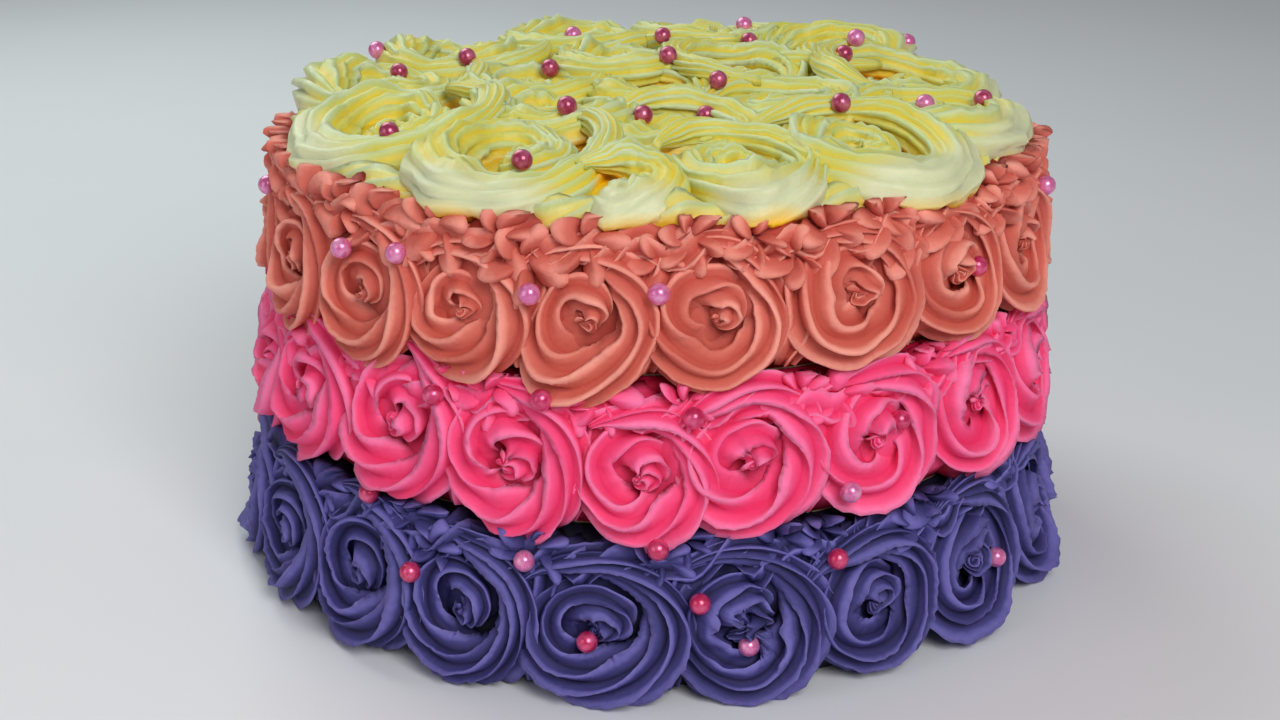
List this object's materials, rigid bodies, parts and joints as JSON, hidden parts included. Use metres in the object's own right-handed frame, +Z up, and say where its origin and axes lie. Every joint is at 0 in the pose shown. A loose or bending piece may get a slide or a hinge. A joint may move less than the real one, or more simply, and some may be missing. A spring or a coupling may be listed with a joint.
{
  "type": "rosette-piped celebration cake",
  "caption": "Round tall layer cake covered with piped icing swirls in violet, pink, peach and yellow bands, with sugar pearls.",
  "frame": {"origin": "middle of the underside, on the surface the cake stands on", "axes": "+Z up, -Y towards the pictured front"},
  "size_m": [0.2754, 0.273, 0.1508],
  "materials": {
    "crumb_coat": "matte cream crumb coat",
    "violet_icing": "satin buttercream",
    "pink_icing": "satin buttercream",
    "peach_icing": "satin buttercream",
    "yellow_icing": "soft wet-looking cream",
    "pale_pearl": "pearlescent sugar",
    "rose_pearl": "pearlescent sugar",
    "dark_pearl": "pearlescent sugar"
  },
  "bodies": {
    "root": {"cake_body": "crumb_coat", "icing_violet": "violet_icing", "icing_pink": "pink_icing", "icing_peach": "peach_icing", "icing_yellow": "yellow_icing"}
  },
  "joints": []
}
